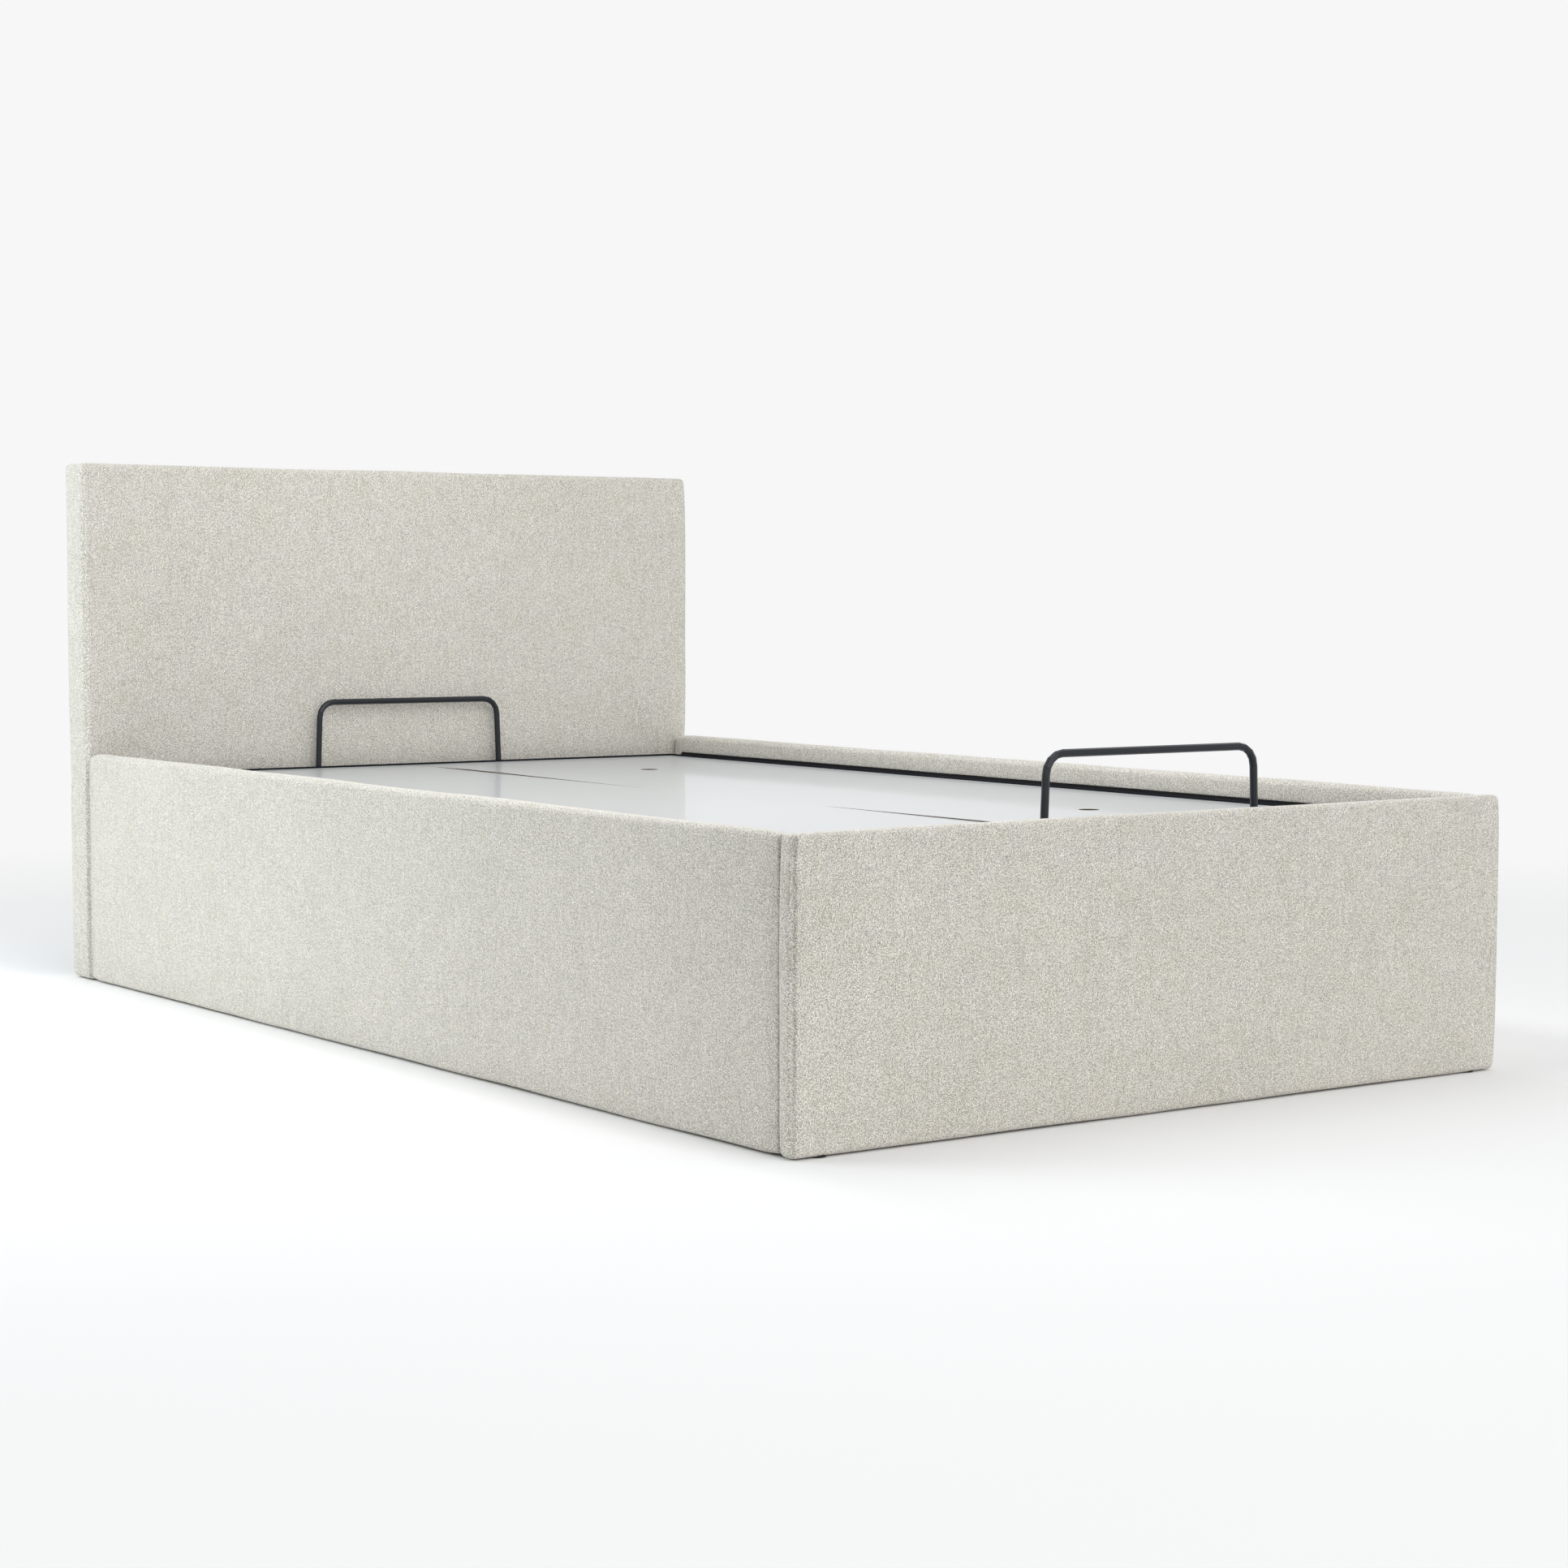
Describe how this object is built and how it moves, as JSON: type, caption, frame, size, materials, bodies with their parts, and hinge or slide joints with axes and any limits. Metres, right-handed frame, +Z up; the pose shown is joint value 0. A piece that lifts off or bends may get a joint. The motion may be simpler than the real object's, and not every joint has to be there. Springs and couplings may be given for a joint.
{
  "type": "hydraulic storage bed",
  "caption": "Upholstered single bed with a high flat headboard and a gas-lifted slatless platform that opens over a full storage box.",
  "frame": {"origin": "on the floor under the middle of the bed", "axes": "+X to the right as seen from the foot, +Y from the foot to the headboard, +Z up"},
  "size_m": [1.17, 2.012, 0.838],
  "materials": {
    "upholstery_fabric": "woven chenille, light greige",
    "core_board": "raw particle board",
    "black_lining": "black non-woven lining",
    "plated_steel": "zinc plated",
    "buffer_rubber": "matt",
    "glide_plastic": "matt",
    "batten_wood": "raw pine",
    "storage_floor_board": "smooth laminate",
    "dark_painted_steel": "satin powder coat, near black",
    "platform_board": "glossy light grey laminate",
    "roller_nylon": "white nylon",
    "strut_paint": "gloss black",
    "strut_rod_steel": "polished"
  },
  "bodies": {
    "bed_base": {"left_rail_cover": "upholstery_fabric", "left_rail_board": "core_board", "left_rail_lining": "black_lining", "right_rail_cover": "upholstery_fabric", "right_rail_board": "core_board", "right_rail_lining": "black_lining", "footboard_cover": "upholstery_fabric", "footboard_board": "core_board", "footboard_lining": "black_lining", "headboard_lower_cover": "upholstery_fabric", "headboard_lower_board": "core_board", "headboard_lower_backing": "black_lining", "headboard_upper_cover": "upholstery_fabric", "headboard_upper_board": "core_board", "headboard_upper_backing": "black_lining", "left_pivot_bracket": "plated_steel", "left_roller_track": "plated_steel", "left_strut_base_bracket": "plated_steel", "left_buffer": "buffer_rubber", "corner_bracket_foot_left": "plated_steel", "glide_foot_left": "glide_plastic", "corner_bracket_head_left": "plated_steel", "glide_head_left": "glide_plastic", "right_pivot_bracket": "plated_steel", "right_roller_track": "plated_steel", "right_strut_base_bracket": "plated_steel", "right_buffer": "buffer_rubber", "corner_bracket_foot_right": "plated_steel", "glide_foot_right": "glide_plastic", "corner_bracket_head_right": "plated_steel", "glide_head_right": "glide_plastic", "foot_rest": "plated_steel", "floor_batten_foot": "batten_wood", "floor_batten_middle": "batten_wood", "floor_batten_head": "batten_wood", "floor_panel_foot": "storage_floor_board", "floor_panel_head": "storage_floor_board"},
    "platform": {"platform_frame": "dark_painted_steel", "edge_angle_left": "dark_painted_steel", "edge_angle_right": "dark_painted_steel", "edge_angle_foot": "dark_painted_steel", "edge_angle_head": "dark_painted_steel", "left_board": "platform_board", "right_board": "platform_board", "head_retainer_bar": "dark_painted_steel", "foot_retainer_bar": "dark_painted_steel", "left_arm_lug": "dark_painted_steel", "left_roller_lug": "dark_painted_steel", "left_strut_top_bracket": "dark_painted_steel", "right_arm_lug": "dark_painted_steel", "right_roller_lug": "dark_painted_steel", "right_strut_top_bracket": "dark_painted_steel"},
    "left_lift_arm": {"left_lift_arm": "dark_painted_steel"},
    "left_roller": {"left_roller": "roller_nylon"},
    "left_strut_cylinder": {"left_strut_cylinder": "strut_paint"},
    "left_strut_rod": {"left_strut_rod": "strut_rod_steel"},
    "right_lift_arm": {"right_lift_arm": "dark_painted_steel"},
    "right_roller": {"right_roller": "roller_nylon"},
    "right_strut_cylinder": {"right_strut_cylinder": "strut_paint"},
    "right_strut_rod": {"right_strut_rod": "strut_rod_steel"}
  },
  "joints": [
    {"name": "left_lift_arm_swing", "type": "hinge", "parent": "bed_base", "child": "left_lift_arm", "pos_m": [-0.5435, 0.0747, 0.19], "axis": [1, 0, 0], "range_deg": [0, 38], "stiffness_Nm_per_rad": 95, "springref_deg": 162.72},
    {"name": "platform_tilt", "type": "hinge", "parent": "left_lift_arm", "child": "platform", "pos_m": [-0.5435, 0.46735, 0.26632], "axis": [-1, 0, 0], "range_deg": [0, 76]},
    {"name": "right_lift_arm_swing", "type": "hinge", "parent": "bed_base", "child": "right_lift_arm", "pos_m": [0.5435, 0.0747, 0.19], "axis": [1, 0, 0], "range_deg": [0, 38]},
    {"name": "left_strut_swing", "type": "hinge", "parent": "bed_base", "child": "left_strut_cylinder", "pos_m": [-0.52, 0.38, 0.07], "axis": [1, 0, 0], "range_deg": [0, 37.5]},
    {"name": "left_strut_slide", "type": "slide", "parent": "left_strut_cylinder", "child": "left_strut_rod", "axis": [0, 0.6513, 0.7588], "range_m": [0, 0.113]},
    {"name": "left_roller_spin", "type": "hinge", "parent": "platform", "child": "left_roller", "pos_m": [-0.5441, 0.86, 0.19], "axis": [1, 0, 0], "continuous": true},
    {"name": "right_strut_swing", "type": "hinge", "parent": "bed_base", "child": "right_strut_cylinder", "pos_m": [0.52, 0.38, 0.07], "axis": [1, 0, 0], "range_deg": [0, 37.5]},
    {"name": "right_strut_slide", "type": "slide", "parent": "right_strut_cylinder", "child": "right_strut_rod", "axis": [0, 0.6513, 0.7588], "range_m": [0, 0.113]},
    {"name": "right_roller_spin", "type": "hinge", "parent": "platform", "child": "right_roller", "pos_m": [0.5441, 0.86, 0.19], "axis": [1, 0, 0], "continuous": true}
  ],
  "couplings": [
    {"joint": "platform_tilt", "follows": "left_lift_arm_swing", "ratio": 2},
    {"joint": "right_lift_arm_swing", "follows": "left_lift_arm_swing", "ratio": 1},
    {"joint": "left_strut_swing", "follows": "left_lift_arm_swing", "ratio": 0.97554},
    {"joint": "left_strut_slide", "follows": "left_lift_arm_swing", "m_per_rad": 0.16899},
    {"joint": "right_strut_swing", "follows": "left_lift_arm_swing", "ratio": 0.97554},
    {"joint": "right_strut_slide", "follows": "left_lift_arm_swing", "m_per_rad": 0.16899}
  ]
}
